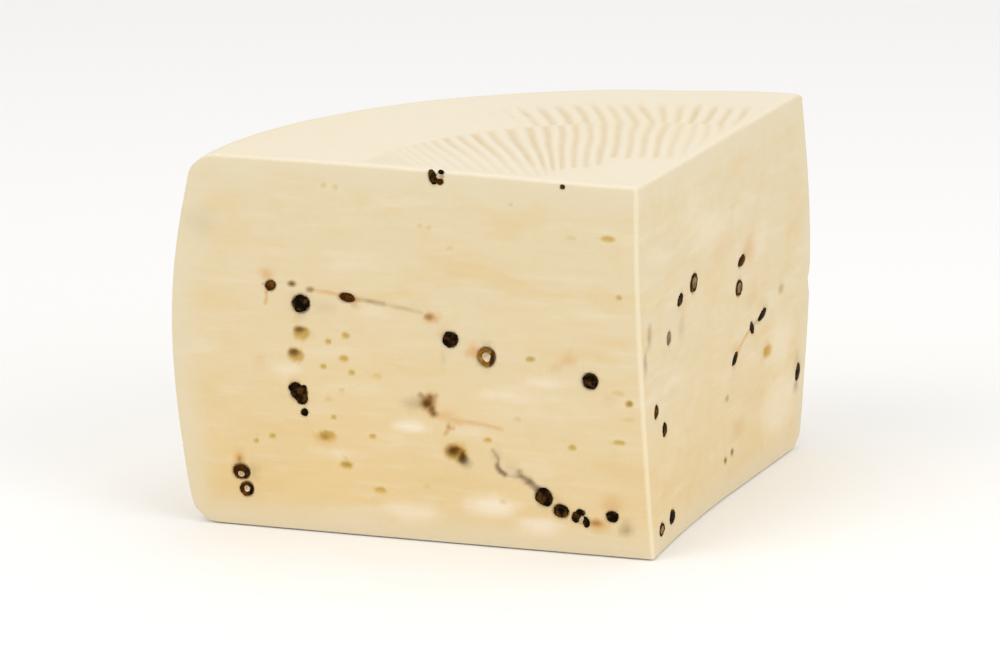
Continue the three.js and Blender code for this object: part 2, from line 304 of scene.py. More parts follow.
# What the knife laid open: [run from the upright edge, height, width, height across].
frontEyes = {
    "oily": [
        (107.3, 62.6, 5.2, 4.2), (109.2, 55.4, 4.8, 4.1), (93, 62.8, 2.3, 2), (98.6, 60.5, 1.9, 1.6),
        (93.6, 55.5, 2.6, 1.9), (100.2, 52.6, 2, 1.6), (91, 51.4, 2, 1.6), (97, 36.8, 1.8, 1.3),
        (99.3, 30.8, 5.6, 3), (117, 29.3, 2.1, 1.4), (122.4, 27.3, 1.6, 1.3), (84.3, 31.8, 2, 1.5),
        (93, 22, 3.9, 2.2), (82, 15, 3.8, 1.7), (47.4, 33.5, 2.6, 1.5), (20.5, 33.3, 2.5, 1.7),
        (5.8, 36, 3.8, 1.5), (2.6, 48.4, 2.2, 2.1), (34.3, 59.8, 2.1, 1.6), (9.3, 98.8, 4.6, 1.7),
        (5.8, 81, 1.7, 1.3), (57.3, 28.8, 5.8, 4.2),
    ],
    "faint": [
        (83, 50.8, 3.2, 1.8), (98.6, 42.3, 2.2, 1.4), (38, 40.8, 2.4, 1.4), (21, 98.3, 3.2, 1.2),
        (59.3, 92.5, 2.4, 1.1), (67, 17.3, 2, 1.3), (42.4, 14.5, 2.2, 1.4), (95.8, 108.9, 1.7, 1.6),
        (99.5, 109.3, 1.8, 1.7), (69, 98.8, 1.6, 1.3), (66, 98.5, 1.6, 1.3), (39.9, 107.3, 1.2, 1.1),
        (6.2, 51.2, 3.6, 1.8), (2.8, 43.4, 4, 1.2), (94.2, 45.6, 1.9, 1.5), (37.2, 24, 1.7, 1.2),
    ],
}
sideEyes = {
    "oily": [(112.4, 38.6, 6, 3.2)],
    "faint": [
        (123.4, 56.8, 4.6, 2.4), (75.9, 31.8, 2.4, 1.8), (5.3, 64, 3.6, 2.6), (74, 12.3, 2.2, 1.8),
        (80.3, 13.5, 2.6, 2),
    ],
}
# [width, depth, stain, how strong it is, path].
frontCracks = [
    (1.0, 0.4, "rust", 0.6, [(104, 76.5), (97, 75.8), (92.5, 74.8)]),
    (1.2, 0.3, "brown", 0.65, [(92.5, 74.8), (86, 74.3), (80.5, 73.6)]),
    (1.1, 0.2, "brown", 0.28, [(80.5, 73.6), (74, 72.6), (68.6, 71.9)]),
    (2.0, 0.6, "brown", 0.9, [(66.4, 43.9), (65.6, 41.6), (64.7, 40.6)]),
    (1.5, 0.4, "brown", 0.6, [(69, 46), (66.4, 43.9), (63.8, 46.2)]),
    (2.2, 0.2, "rust", 0.5, [(64.7, 40.5), (61, 39.4), (56, 38.7)]),
    (1.2, 0.3, "rust", 0.6, [(56, 38.7), (49, 38.3), (43, 37.2)]),
    (1.2, 0.3, "rust", 0.7, [(60.8, 34.6), (60, 36.3), (58.4, 36.5)]),
    (0.9, 0.5, "dark", 0.4, [(45.8, 30.6), (44, 28), (44.2, 25.2), (41.9, 23.3)]),
    (1.5, 0.3, "brown", 0.75, [(44.4, 25.8), (43.4, 24.2), (41.9, 23.3)]),
    (0.7, 0.3, "grey", 0.7, [(41.9, 23.3), (38.8, 22.6), (36.5, 22.9)]),
    (1.1, 0.6, "dark", 0.5, [(37.2, 23.6), (36, 22.7), (34, 21.6)]),
    (1.8, 0.8, "dark", 0.65, [(34, 21.6), (32.6, 20.4), (31, 19)]),
    (2.2, 0.1, "brown", 0.5, [(37.4, 23.8), (36, 22.7), (34, 21.6), (31, 19)]),
    (1.0, 0.3, "rust", 0.9, [(118.6, 74.9), (118.4, 73), (118.9, 71.2)]),
]
sideCracks = [
    (1.3, 0.3, "rust", 0.8, [(85.5, 44.2), (88.5, 46.3), (93.5, 48.4), (98.6, 49.8)]),
    (1.2, 0.3, "grey", 0.6, [(98.6, 49.8), (102.6, 50.8), (106.6, 51.8)]),
]
# [run, height, reach along, reach up, strength]
frontStains = {
    "brown": [
        (66.7, 43.9, 3, 2.9, 1.0), (65.9, 45.3, 1.8, 2, 0.9), (65.4, 42, 1.8, 2, 0.9),
        (58.4, 29.3, 3, 2.5, 1.0), (55.7, 27.7, 2.1, 2.4, 1.0),
        (66.2, 70.7, 1.9, 1.4, 0.65), (117.2, 77, 2, 1.9, 0.9), (92.5, 74.8, 3.4, 1.8, 1.0),
        (110.2, 77.9, 1.8, 1.2, 1.0), (104.4, 76.5, 1.6, 1.1, 0.7), (99.9, 30.2, 1.7, 1.1, 0.4),
        (108.3, 63.4, 2.1, 1.6, 0.8), (110, 56.1, 2.0, 1.6, 0.85), (33, 60, 1.1, 1, 0.4),
        (2.6, 48.2, 1, 0.9, 0.4), (13, 10.3, 2.4, 1.1, 0.5), (128, 21.2, 0.9, 1.3, 0.5),
        (37.2, 24.6, 1.2, 0.9, 0.45), (93, 22, 1.7, 0.8, 0.3), (59.8, 37, 0.9, 1.4, 0.4),
    ],
    "rust": [
        (118.6, 80.2, 3.2, 2.4, 0.6), (66.2, 43.6, 3.6, 4.4, 0.7), (57.4, 29.4, 4.2, 3.2, 0.9),
        (65.3, 70.6, 3.3, 2.4, 0.7), (52, 61, 3, 2.8, 0.7), (21.5, 60.6, 3.4, 2.4, 0.5),
        (12.5, 10, 4.4, 2.2, 0.8), (8, 16.5, 5, 3.4, 0.5), (128, 21.2, 2.8, 2.8, 0.7),
        (109.6, 46.6, 3, 2.4, 0.3), (89.5, 74.2, 2.4, 1.2, 0.6), (62, 66.4, 3, 2.2, 0.3),
        (108.9, 67, 2.4, 1.6, 0.3), (100, 29.6, 4.4, 2.4, 0.4), (121, 52.4, 3, 2, 0.25),
        (61, 40.2, 4, 1.8, 0.4), (26, 57.6, 2.6, 1.6, 0.35), (9, 49, 3, 1.8, 0.3),
    ],
    "grey": [
        (140, 95, 8, 6, 0.12), (71, 43.4, 4.4, 2.6, 0.45), (54.6, 26, 3, 2.2, 0.6),
        (40, 24.5, 4, 2.6, 0.2), (3.6, 9.2, 2.6, 3, 0.7), (99.5, 71.5, 5, 3, 0.16),
        (61.6, 58, 1.2, 3, 0.2), (44.6, 29, 2.4, 3, 0.2), (123.4, 17.5, 3, 3.4, 0.3),
    ],
    "pale": [
        (72, 36, 7, 2.4, 0.9), (46, 13, 10, 4, 0.9), (31, 8, 9, 3, 0.8), (112, 50.5, 6, 3, 0.5),
        (100, 27, 8, 1.6, 0.4), (84, 71, 6, 2.4, 0.3), (30, 53, 8, 1.4, 0.5), (14, 74, 9, 1.4, 0.3),
        (72, 9, 12, 3.4, 0.6), (43, 48, 9, 1.2, 0.5),
    ],
    "dark": [
        (67, 43.4, 1.4, 1.2, 0.6), (92.8, 74.8, 1.6, 0.8, 0.7), (108.9, 63.7, 1.4, 1, 0.2),
        (110.5, 56.4, 1.3, 1, 0.3), (55.2, 26.8, 1.9, 1.7, 0.65), (58.9, 28.9, 1.4, 1, 0.35),
        (119.6, 77.3, 0.7, 0.6, 0.4),
    ],
}
sideStains = {
    "brown": [(111.8, 38.8, 2, 1.0, 0.3), (74, 12.3, 1.6, 1.2, 0.9), (80.3, 13.5, 1.8, 1.4, 0.8)],
    "rust": [
        (93.5, 76, 7, 5, 0.45), (111.6, 38.8, 4.6, 2.6, 0.9), (97, 60, 7, 4, 0.25), (38, 71, 5, 4, 0.25),
        (20, 60, 4, 3, 0.15), (84, 46, 4, 2.4, 0.3), (86, 20, 8, 4, 0.3), (126, 48, 6, 8, 0.12),
        (106, 55, 6, 3, 0.25), (70, 82, 12, 6, 0.15),
    ],
    "grey": [
        (3.6, 60, 2, 4, 0.7), (8, 68, 2.6, 4.5, 0.6), (24.6, 63.6, 3, 3, 0.25), (36, 64, 4, 5, 0.25),
        (139, 28, 3, 6, 0.3), (123, 56.8, 3, 2, 0.45), (76, 31.8, 2.4, 1.4, 0.5),
        (138.6, 21, 2.6, 2.6, 0.6),
    ],
    "pale": [
        (124, 40, 12, 13, 0.45), (60, 88, 18, 6, 0.3), (113, 36, 5, 3, 0.3), (122, 18, 20, 12, 0.5),
    ],
    "dark": [],
}
# Peppercorns and their pieces: [face, run or turn round the rind, height, width, height across,
# lean to the right, how far it stands out for its radius, kind].
corns = [
    ("front", 117.2, 76.9, 3.5, 3.3, -30, 0.3, "brown"), ("front", 107.4, 71.8, 5.7, 5.6, 0, 0.33, "whole"),
    ("front", 92.5, 74.8, 5.2, 2.7, 12, 0.2, "brown"), ("front", 59.3, 64.1, 4.8, 4.9, 20, 0.33, "whole"),
    ("front", 47.8, 59.5, 5.6, 6.1, 10, 0.08, "ring"), ("front", 15, 54.5, 5, 4.9, -20, 0.33, "whole"),
    ("front", 109.4, 45.1, 4.2, 3.8, 0, 0.28, "whole"), ("front", 108.2, 43.5, 5.6, 4.4, -10, 0.26, "whole"),
    ("front", 107.3, 41.9, 4, 3.6, 30, 0.3, "whole"), ("front", 106.6, 45.4, 2, 1.8, 0, 0.3, "whole"),
    ("front", 106.4, 37.7, 2.4, 2.6, 0, 0.33, "whole"),
    ("front", 127.4, 17.2, 5.6, 4.8, 15, 0.08, "crescent"),
    ("front", 125.6, 11.8, 4.2, 4.6, 0, 0.08, "thickRing"),
    ("front", 29.5, 17.2, 5.1, 5.9, -35, 0.33, "whole"), ("front", 24.1, 13.2, 5.3, 4.1, 22, 0.33, "whole"),
    ("front", 19.2, 11.7, 3.2, 3.4, 10, 0.3, "whole"), ("front", 17.7, 13.3, 2.9, 1.9, 15, 0.25, "whole"),
    ("front", 16.1, 10.4, 2.2, 3.5, -15, 0.3, "whole"), ("front", 17.6, 10.9, 1.4, 2.8, 25, 0.5, "pale"),
    ("front", 7.9, 12.7, 4.1, 3.6, 0, 0.33, "whole"),
    ("front", 64.6, 114.2, 2.6, 4.6, -20, 0.3, "whole"), ("front", 61.9, 116, 1.8, 1.6, 0, 0.3, "whole"),
    ("front", 62.4, 113, 2.5, 2.1, 10, 0.3, "brown"), ("front", 62.3, 114.6, 2.2, 2, 0, 0.12, "pale"),
    ("front", 23.6, 113.9, 1.6, 1.6, 0, 0.33, "whole"),
    ("side", 46.8, 75.5, 5.2, 5.7, 42, 0.08, "tanRing"), ("side", 35.4, 72.8, 5.2, 3.3, -24, 0.1, "whole"),
    ("side", 25.2, 63.1, 3.6, 4.4, 20, 0.06, "tan"), ("side", 11.3, 43.4, 3.6, 4.4, 30, 0.1, "brown"),
    ("side", 18.2, 36.2, 4.0, 4.2, 0, 0.1, "whole"), ("side", 87.9, 73.5, 6.4, 3.2, -16, 0.12, "brown"),
    ("side", 85.9, 65.2, 5.2, 5, 0, 0.08, "tanRing"), ("side", 107.2, 51.8, 7.4, 2.6, -20, 0.08, "whole"),
    ("side", 98.4, 49.4, 2.7, 5.2, -36, 0.08, "whole"), ("side", 83.5, 42.8, 5.6, 3.1, -32, 0.08, "whole"),
    ("side", 140.3, 25.2, 3.8, 6.4, 20, 0.06, "whole"), ("side", 21.8, 7.9, 5.2, 4.2, -10, 0.15, "whole"),
    ("side", 10.6, 7, 4.6, 3.4, -24, 0.1, "tanRing"), ("rind", 22, 84, 5, 4.4, 20, 0.3, "whole"),
    ("rind", 38, 31, 4.8, 4.6, 0, 0.3, "whole"), ("rind", 41, 35, 4.2, 3.6, 40, 0.3, "whole"),
    ("rind", 73, 58, 5, 4.8, -10, 0.3, "whole"),
]


def turned(right, up, lean):
    # the same offset in a frame whose upright axis leans to the right
    cosine, sine = math.cos(math.radians(lean)), math.sin(math.radians(lean))
    return right * cosine - up * sine, right * sine + up * cosine


def onFace(face, run, z):
    # a place on the wheel and the way the face looks there
    if face == "front":
        return np.array((-run, -float(frontWave(run, z)), z)), np.array((0.0, -1.0, 0.0))
    if face == "side":
        return sideRun * run + sideOut * float(sideWave(run, z)) + (0, 0, z), sideOut
    turn = math.radians(run)
    out = np.array((-math.cos(turn), math.sin(turn), 0.0))
    return out * float(sideRadius(np.array(z))) + (0, 0, z), out


def ovalMiss(run, z, u, v, reachAlong, reachUp):
    # 1 on the edge of an oval and less inside it
    return np.hypot((run - u) / reachAlong, (z - v) / reachUp)


def fadeOut(miss, edge):
    # 1 well inside an oval or a crack, and 0 from its outer edge on
    outer, width = edge
    return smooth(outer - miss, 0, width)


def lineMiss(run, z, path):
    # how far each place is from a bent line
    best = np.full_like(run, 1e3)
    for (a, b), (c, d) in zip(path[:-1], path[1:]):
        length = (c - a) ** 2 + (d - b) ** 2
        t = np.clip(((run - a) * (c - a) + (z - b) * (d - b)) / length, 0, 1)
        best = np.minimum(best, np.hypot(run - a - t * (c - a), z - b - t * (d - b)))
    return best


block = {
    "side": 142.2,
    "height": 113.0,
    "rounding": 1.4,  # the cut's edges have worn a little
    "roundingSteps": 3,
    "columns": 94,
    "rows": 46,
    "fineCuts": 3,  # round eyes, cracks and peppercorns, with these margins
    "margins": {"eyeAlong": 1.4, "eyeUp": 1.6, "crack": 1, "stain": 0.9, "corn": 1.5},
    "wavy": (0.12, 0.05),  # broad and fine unevenness of the cuts
    "lumpy": 0.3,  # the same of the side
    "uneven": 0.15,  # and of the upper face
    "rindBand": 20,  # the paste looks different this near the rind
    "rimHighlight": 0.45,  # the painted highlight on the rims is weaker than on the upright edge
}


def layOut(places):
    # from the square block's own places to the quarter's, both measured from the point
    a, b, c = places.T
    far = np.maximum(np.maximum(a, b), 1e-6)
    turn = np.where(a >= b, b / far, 2 - a / far) * quarterTurn / 2
    share, rise = far / block["side"], c / block["height"]
    sharp = smooth(turn / quarterTurn, *wheel["sharpens"])[:, None]
    outline = section(softOutlines, share, rise) * (1 - sharp) + section(sharpOutlines, share, rise) * sharp
    radius, z = outline.T
    x, y = -radius * np.cos(turn), radius * np.sin(turn)
    inside = -(x * sideOut[0] + y * sideOut[1])
    y = y - frontWave(-x, z) * (1 - smooth(y, 0, knife["frontFade"]))
    run = np.maximum(x * sideRun[0] + y * sideRun[1], 0)
    push = sideWave(run, z) * (1 - smooth(inside, 0, knife["sideFade"]))
    slide = push * -math.cos(quarterTurn) * (1 - smooth(y, 0, knife["sideFade"]))
    x = x + push * sideOut[0] + slide * sideRun[0]
    y = y + push * sideOut[1] + slide * sideRun[1]
    return np.stack((x, y, z), axis=1), turn


bpy.ops.object.select_all(action="DESELECT")
size = Vector((block["side"], block["side"], block["height"])) * mm
bpy.ops.mesh.primitive_cube_add(size=1, scale=size, location=size / 2)
cheese = bpy.context.object
cheese.name = "cheeseQuarter"
bpy.ops.object.transform_apply(location=True, rotation=True, scale=True)

start, end = edgeEnds(cheese)
onCut = (np.maximum(start[:, 0], end[:, 0]) < 1e-6) | (np.maximum(start[:, 1], end[:, 1]) < 1e-6)
startEdit(cheese, "edge", onCut)
bpy.ops.mesh.bevel(offset=block["rounding"] * mm, segments=block["roundingSteps"], affect="EDGES")
endEdit()
for axis, cuts in ((0, block["columns"] - 1), (1, block["columns"] - 1), (2, block["rows"] - 1)):
    start, end = edgeEnds(cheese)
    reach = np.abs(end - start)
    length = np.linalg.norm(reach, axis=1)
    startEdit(cheese, "edge", (reach[:, axis] > 0.99 * length) & (length > 0.02))
    bpy.ops.mesh.subdivide(number_cuts=cuts)
    endEdit()

# twice the columns on the rind, so that each flute has nearly seven
start, end = edgeEnds(cheese)
reach = np.abs(end - start)
sideways = np.maximum(reach[:, 0], reach[:, 1]) > 0.99 * np.linalg.norm(reach, axis=1)
onRind = np.minimum(start[:, :2].max(axis=1), end[:, :2].max(axis=1)) > size.x - 1e-6
startEdit(cheese, "edge", sideways & onRind)
bpy.ops.mesh.subdivide(number_cuts=1)
endEdit()
print("block shaped, faces", len(cheese.data.polygons))


def refine(near, cuts):
    centres = faceCentres(cheese)
    startEdit(cheese, "face", near(centres / mm))
    bpy.ops.mesh.subdivide(number_cuts=cuts)
    endEdit()
    print("refined, faces", len(cheese.data.polygons))


def underReeds(centres):
    flat = (centres[:, 2] > block["height"] - 0.01) | (centres[:, 2] < 0.01)
    radius = np.hypot(*layOut(centres)[0].T[:2])
    return flat & (radius > reeds["hub"] - 1) & (radius < reeds["ringEnd"] + 1)


def underDetail(centres):
    places = layOut(centres)[0]
    margin = block["margins"]
    near = np.zeros(len(centres), bool)
    faces = (
        (centres[:, 1] < block["rounding"], -places[:, 0], frontEyes, frontCracks, frontStains, "front"),
        (centres[:, 0] < block["rounding"], places @ sideRun, sideEyes, sideCracks, sideStains, "side"),
    )
    z = places[:, 2]
    for onThis, run, eyes, cracks, stains, name in faces:
        found = np.zeros(len(centres), bool)
        for spots in eyes.values():
            for u, v, wide, high in spots:
                found |= ovalMiss(run, z, u, v, wide / 2 + margin["eyeAlong"], high / 2 + margin["eyeUp"]) < 1
        for width, depth, stain, strong, path in cracks:
            found |= lineMiss(run, z, path) < width + margin["crack"]
        for u, v, wide, high, strong in stains["brown"] + stains["dark"]:
            found |= ovalMiss(run, z, u, v, wide + margin["stain"], high + margin["stain"]) < 1
        for face, u, v, wide, high, *rest in corns:
            if face == name:
                found |= ovalMiss(run, z, u, v, wide / 2 + margin["corn"], high / 2 + margin["corn"]) < 1
        near |= found & onThis
    return near


refine(underReeds, 1)
refine(underDetail, block["fineCuts"])

blockPlaces = vertexPlaces(cheese) / mm
places, turn = layOut(blockPlaces)
rounding = block["rounding"]
a, b, c = blockPlaces.T
onFront = 1 - smooth(b, 0, rounding)
onSide = 1 - smooth(a, 0, rounding)
onTop = smooth(c, block["height"] - rounding, block["height"])
onBase = 1 - smooth(c, 0, rounding)
onRim = smooth(np.maximum(a, b), block["side"] - rounding, block["side"])

wander = reeds["wobble"] * noiseAt(places, 22, 3)
ends = noiseAt(places, 5, 61)
x, y = places[:, 0], places[:, 1]
onLower = c < block["height"] / 2
furrows = np.where(onLower, reedFurrows(x, y, wander, ends, False), reedFurrows(x, y, wander, ends, True))
hollows = fluteHollows(turn, places[:, 2])
run = {"front": -places[:, 0], "side": places @ sideRun}
z = places[:, 2].copy()
looks = {name: np.zeros(len(places)) for name in ("oil", "rust", "brown", "grey", "pale", "dark")}
dent = {"front": np.zeros(len(places)), "side": np.zeros(len(places))}

marks = {
    "oily": 1.0,  # how strong the two kinds of eye are
    "faint": 0.4,
    "eyeDepth": 0.36,  # share of the eye's width
    "socketDepth": 0.3,  # share of the peppercorn's width
    "socketReach": 1.1,
    "cornHalo": 0.22,  # how grey the paste is round a peppercorn
    "rindLift": 0.4,  # by a peppercorn under it
    # where each mark has faded out and how softly, as shares of its own reach
    "eyeEdge": (1.15, 0.7),
    "oilEdge": (1.5, 0.9),
    "crackEdge": (2, 1.8),
    "stainEdge": (1.2, 1.0),
    "haloEdge": (1.6, 0.7),
    "liftEdge": (1.3, 1.3),
    # how broken a crack and its stain are: mean, swing and least
    "crackBreaks": (0.65, 0.5, 0.15),
    "stainBreaks": (0.75, 0.6, 0.05),
    "ragged": (0.22, 0.12),  # broad and fine unevenness of every edge
    "nick": {"height": 54.0, "beyond": 2.0, "size": (5.0, 5.0, 4.0)},
}
broadRag, fineRag = marks["ragged"]
ragged = 1 + broadRag * noiseAt(places, 1.3, 9) + fineRag * noiseAt(places, 0.6, 4)
softNoise = noiseAt(places, 4, 12)


def broken(mean, swing, least):
    return (mean + swing * softNoise).clip(least, 1)


for name, onThis, eyes, cracks, stains in (
    ("front", onFront, frontEyes, frontCracks, frontStains),
    ("side", onSide, sideEyes, sideCracks, sideStains),
):
    for kind, spots in eyes.items():
        strong = marks[kind]
        for u, v, wide, high in spots:
            miss = ovalMiss(run[name], z, u, v, wide / 2, high / 2) * ragged
            bowl = fadeOut(miss, marks["eyeEdge"])
            dent[name] = np.maximum(dent[name], bowl * strong * marks["eyeDepth"] * min(wide, high))
            halo = fadeOut(miss, marks["oilEdge"]) * strong * onThis
            looks["oil"] = np.maximum(looks["oil"], halo)
    for width, depth, stain, strong, path in cracks:
        miss = lineMiss(run[name], z, path) * ragged / (width / 2)
        gash = np.clip(1.2 - miss, 0, 1) * broken(*marks["crackBreaks"])
        dent[name] = np.maximum(dent[name], gash * depth)
        spread = fadeOut(miss, marks["crackEdge"]) * broken(*marks["stainBreaks"]) * strong
        looks[stain] = np.maximum(looks[stain], spread * onThis)
    for kind, spots in stains.items():
        for u, v, wide, high, strong in spots:
            miss = ovalMiss(run[name], z, u, v, wide, high) * (0.6 + 0.4 * ragged + 0.2 * softNoise)
            spread = fadeOut(miss, marks["stainEdge"]) * strong * onThis
            looks[kind] = np.maximum(looks[kind], spread)
    for face, u, v, wide, high, lean, stand, kind in corns:
        if face != name:
            continue
        rightwards = u - run[name] if name == "front" else run[name] - u
        aside, above = turned(rightwards, z - v, lean)
        miss = np.hypot(aside / (wide / 2), above / (high / 2))
        bowl = np.sqrt(np.clip(1 - (miss / marks["socketReach"]) ** 2, 0, 1))
        socket = bowl * min(wide, high) * marks["socketDepth"]
        dent[name] = np.maximum(dent[name], socket)
        halo = fadeOut(miss * ragged, marks["haloEdge"]) * marks["cornHalo"] * onThis
        looks["grey"] = np.maximum(looks["grey"], halo)

broadWave, fineWave = block["wavy"]
wavy = broadWave * noiseAt(places, 16, 21) + fineWave * noiseAt(places, 5, 31)
lumpy = block["lumpy"] * noiseAt(places, 26, 41)
out = np.stack((-np.cos(turn), np.sin(turn), np.zeros_like(turn)), axis=1)
places[:, 1] += (dent["front"] + wavy) * onFront
places -= sideOut * ((dent["side"] + wavy) * onSide)[:, None]
places -= out * ((hollows * reeds["fluteDepth"] - lumpy - block["lumpy"]) * onRim)[:, None]
uneven = block["uneven"] + block["uneven"] * noiseAt(places, 18, 51)
places[:, 2] -= (furrows * reeds["depth"] + uneven) * onTop
places[:, 2] += furrows * reeds["depth"] * onBase

# a nick knocked out of the rind at the far edge of the side cut
nick = marks["nick"]
heart = onFace("side", float(sideRadius(np.array(nick["height"]))) + nick["beyond"], nick["height"])[0]
away = (places - heart) / nick["size"] / ragged[:, None]
reach = np.linalg.norm(away, axis=1)
inNick = reach < 1
scale = np.where(inNick, 1 / np.maximum(reach, 0.2), 1)
places = np.where(inNick[:, None], heart + (places - heart) * scale[:, None], places)

# peppercorns under the rind lift it a little
for face, u, v, wide, *rest in corns:
    if face == "rind":
        spot, way = onFace(face, u, v)
        miss = np.linalg.norm(places - spot, axis=1) / wide
        places += way * (marks["rindLift"] * fadeOut(miss, marks["liftEdge"]) * onRim)[:, None]

cheese.data.vertices.foreach_set("co", ((places + point) * mm).ravel())
cheese.data.update()
# the layout mirrors the block, so its faces are turned outwards again
startEdit(cheese, "face", np.ones(len(cheese.data.polygons), bool))
bpy.ops.mesh.normals_make_consistent(inside=False)
endEdit()
fromRind = np.minimum(z, topHeight(np.abs(run["front"])) - z)
fromRind = np.minimum(fromRind, sideRadius(z) - np.hypot(*places.T[:2]))
# painted highlight on the rounded cut edges: full near the upright edge, weaker along the rims
atPoint = np.where(np.maximum(a, b) < 2 * rounding, 1, block["rimHighlight"])
attributes = {
    "rind": np.maximum(np.maximum(onTop, onBase), onRim),
    "sideRind": onRim * smooth(np.minimum(z, wheel["crown"] - z), *wheel["sideRindFade"]),
    "underRind": np.clip(fromRind / block["rindBand"], 0, 1),
    # painted shade: the rind's reed furrows and flute hollows are coloured darker
    "furrowShade": np.maximum(furrows * np.maximum(onTop, onBase), hollows * onRim),
    # painted highlight along the middle of the rounded cut edges
    "wornAndHighlit": 4 * np.maximum(onFront * (1 - onFront), onSide * (1 - onSide)) * atPoint,
    **looks,
}
for name, values in attributes.items():
    layer = cheese.data.attributes.new(name, "FLOAT", "POINT")
    layer.data.foreach_set("value", values.astype(np.float32))
bpy.ops.object.select_all(action="DESELECT")
cheese.select_set(True)
bpy.context.view_layer.objects.active = cheese
bpy.ops.object.shade_smooth()
cheese.data.calc_loop_triangles()
print("cheese shaped, triangles", len(cheese.data.loop_triangles))


def fromScreen(red, green, blue):
    # a colour as seen on screen, in the linear values that the shader takes
    values = []
    for part in (red, green, blue):
        share = part / 255
        values.append(share / 12.92 if share <= 0.04045 else ((share + 0.055) / 1.055) ** 2.4)
    return (*values, 1.0)


class Finish:
    # a material with its node tree at hand
    def __init__(self, name):
        self.material = bpy.data.materials.new(name)
        self.material.use_nodes = True
        self.tree = self.material.node_tree
        self.shader = self.tree.nodes["Principled BSDF"]
        self.where = self.add("ShaderNodeTexCoord").outputs["Object"]

    def add(self, kind, **settings):
        node = self.tree.nodes.new(kind)
        for key, value in settings.items():
            setattr(node, key, value)
        return node

    def join(self, value, socket):
        if isinstance(value, bpy.types.NodeSocket):
            self.tree.links.new(value, socket)
        else:
            socket.default_value = value

    def attribute(self, name):
        return self.add("ShaderNodeAttribute", attribute_name=name).outputs["Fac"]

    def stretch(self, scale):
        node = self.add("ShaderNodeMapping")
        self.join(self.where, node.inputs["Vector"])
        node.inputs["Scale"].default_value = scale
        return node.outputs["Vector"]

    def clouds(self, scale, detail, roughness):
        # scale: one number, or three that also stretch the noise
        node = self.add("ShaderNodeTexNoise")
        stretched = isinstance(scale, tuple)
        self.join(self.stretch(scale) if stretched else self.where, node.inputs["Vector"])
        node.inputs["Scale"].default_value = 1 if stretched else scale
        node.inputs["Detail"].default_value = detail
        node.inputs["Roughness"].default_value = roughness
        return node.outputs["Fac"]

    def math(self, operation, first, second=0.0):
        node = self.add("ShaderNodeMath", operation=operation)
        self.join(first, node.inputs[0])
        self.join(second, node.inputs[1])
        return node.outputs[0]

    def ramp(self, value, low, high, toLow=0.0, toHigh=1.0):
        node = self.add("ShaderNodeMapRange", interpolation_type="SMOOTHSTEP")
        self.join(value, node.inputs["Value"])
        for socket, number in zip(("From Min", "From Max", "To Min", "To Max"), (low, high, toLow, toHigh)):
            node.inputs[socket].default_value = number
        return node.outputs["Result"]

    def blend(self, share, first, second):
        node = self.add("ShaderNodeMix", data_type="RGBA", blend_type="MIX")
        self.join(share, node.inputs[0])
        self.join(first, node.inputs[6])
        self.join(second, node.inputs[7])
        return node.outputs[2]

    def bump(self, height, distance, strength):
        node = self.add("ShaderNodeBump")
        node.inputs["Distance"].default_value = distance
        node.inputs["Strength"].default_value = strength
        self.join(height, node.inputs["Height"])
        return node.outputs["Normal"]


paste = {
    "upper": fromScreen(226, 209, 172),
    "lower": fromScreen(231, 203, 149),
    "mottle": fromScreen(225, 196, 139),
    "light": fromScreen(235, 221, 193),
    "underRind": fromScreen(227, 213, 182),
    # painted highlight colour for the rounded cut edges
    "edge": fromScreen(240, 227, 196),
    "pale": fromScreen(244, 233, 211),
    "oil": fromScreen(206, 170, 72),
    "rust": fromScreen(214, 160, 86),
    "brown": fromScreen(114, 70, 0),
    "grey": fromScreen(156, 134, 98),
    "dark": fromScreen(48, 27, 6),
    "topRind": fromScreen(238, 226, 202),
    # painted shade colour in the reed furrows of the upper and lower faces
    "topFurrowShade": fromScreen(222, 201, 163),
    "sideRind": fromScreen(238, 220, 175),
    # painted shade colour in the flute hollows of the side
    "sideFurrowShade": fromScreen(213, 182, 123),
    # scale, detail and roughness
    "noises": {
        "broad": (22, 3, 0.5),
        "middle": (120, 4, 0.55),
        "fine": (900, 3, 0.6),
        "patches": ((24, 24, 80), 4, 0.6),
        "streaks": ((55, 55, 380), 3, 0.5),
    },
    # noise, the values between which a colour comes in, its largest share, and the colour
    "layers": (
        ("patches", 0.52, 0.72, 0.55, "mottle"),
        ("patches", 0.46, 0.3, 0.45, "light"),
        ("middle", 0.5, 0.75, 0.25, "mottle"),
        ("streaks", 0.52, 0.74, 0.3, "light"),
        ("streaks", 0.46, 0.28, 0.2, "mottle"),
    ),
    "warmLean": 0.2,  # how far the warm foot rises towards the rind
    "warmNoise": 0.06,
    "warmBand": (0.02, 0.125),  # metres
    "rindNoise": 0.2,
    "underRindRamp": (0.15, 0.75, 0.8, 0),
    "shares": {"pale": 0.95, "rust": 0.95, "oil": 0.8, "grey": 0.95, "brown": 0.95, "dark": 0.95},
    # how strong the painted highlight on the rounded cut edges is
    "edgeHighlightShare": 0.7,
    # how much painted shade the furrows and hollows take, varied by noise
    "furrowShadeShare": (0.3, 0.7, 0.75, 1),
    "rindMottle": (0.45, 0.7, 0, 0.2),
    "roughness": (0.3, 0.7, 0.46, 0.62),
    "pores": 330,
    "poreEdge": (0.08, 0.22),
    "reliefShares": {"fine": 0.4, "streaks": 0.5, "pores": 0.25},
    "relief": (0.0003, 0.6),  # metres, strength
    "subsurface": 0.04,
    "subsurfaceRadius": (1.0, 0.7, 0.4),
    "subsurfaceScale": 0.0015,
    "specular": 0.16,
}


